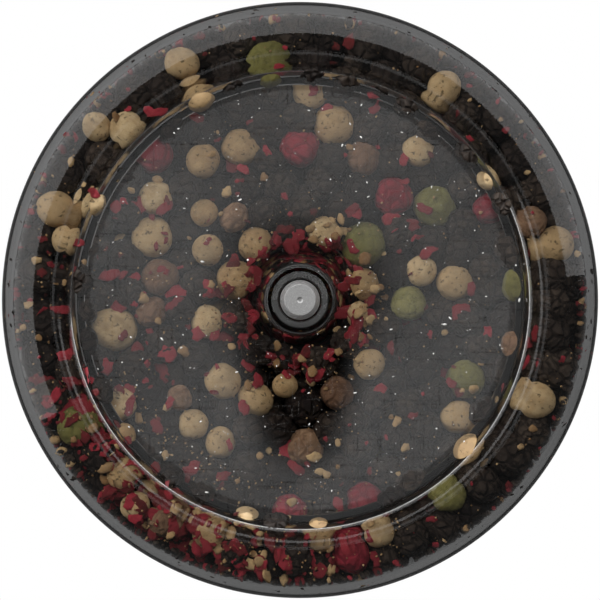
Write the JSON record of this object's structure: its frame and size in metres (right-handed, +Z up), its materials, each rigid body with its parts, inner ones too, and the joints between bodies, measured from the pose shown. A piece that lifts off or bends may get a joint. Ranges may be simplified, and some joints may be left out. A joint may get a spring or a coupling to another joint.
{
  "type": "pepper mill",
  "caption": "Round pepper mill: a clear vessel of mixed peppercorns turns on a steel-sleeved base that holds a ceramic grinder, with a grind adjuster and a push-on cap.",
  "frame": {"origin": "on the axis, at the underside of the foot ring", "axes": "+Z up along the axis that every turned piece shares, from the cap to the vessel's closed end"},
  "size_m": [0.066, 0.066, 0.1481],
  "materials": {
    "clear_plastic": "clear moulded plastic, polished, finely scratched",
    "black_plastic": "satin moulded",
    "grey_plastic": "satin moulded",
    "silicone": "matt",
    "pom": "slippery, satin",
    "steel": "brushed",
    "ceramic": "fired, matt",
    "peppercorns": "mixed dried berries"
  },
  "bodies": {
    "base": {"base_shell": "black_plastic", "steel_sleeve": "steel", "bearing_seat": "black_plastic", "friction_ring": "steel", "hopper": "black_plastic", "grinder_frame": "grey_plastic", "frame_screw_1": "steel", "frame_screw_2": "steel", "frame_screw_3": "steel", "outer_burr": "ceramic", "spring_washer": "steel", "pressure_spring": "steel", "cap_seal": "silicone"},
    "turning_ring": {"slide_ring": "pom"},
    "vessel": {"vessel": "clear_plastic", "vessel_collar": "black_plastic", "collar_seal": "silicone", "drive_shaft": "steel", "shaft_clip": "steel", "peppercorn_charge": "peppercorns"},
    "burr_lifter": {"thrust_washer": "steel"},
    "adjuster": {"grind_adjuster": "grey_plastic"},
    "rotor": {"inner_burr": "ceramic", "drive_core": "black_plastic", "core_clip": "steel"},
    "cap": {"dust_cap": "black_plastic", "foot_ring": "silicone"}
  },
  "joints": [
    {"name": "vessel_turn", "type": "hinge", "parent": "base", "child": "turning_ring", "pos_m": [0, 0, 0.0507], "axis": [0, 0, 1], "continuous": true},
    {"name": "vessel_lift_off", "type": "slide", "parent": "turning_ring", "child": "vessel", "axis": [0, 0, 1], "range_m": [0, 0.04]},
    {"name": "burr_lift", "type": "slide", "parent": "base", "child": "burr_lifter", "axis": [0, 0, 1], "range_m": [0, 0.0006], "deforming": ["pressure_spring"]},
    {"name": "grind_adjust", "type": "hinge", "parent": "burr_lifter", "child": "adjuster", "pos_m": [0, 0, 0.0064], "axis": [0, 0, 1], "range_deg": [0, 300]},
    {"name": "burr_spin", "type": "hinge", "parent": "burr_lifter", "child": "rotor", "pos_m": [0, 0, 0.0205], "axis": [0, 0, 1], "continuous": true},
    {"name": "cap_pull_off", "type": "slide", "parent": "base", "child": "cap", "axis": [0, 0, -1], "range_m": [0, 0.025]}
  ],
  "couplings": [
    {"joint": "burr_spin", "follows": "vessel_turn", "ratio": 1},
    {"joint": "grind_adjust", "follows": "burr_lift", "rad_per_m": 8720}
  ]
}
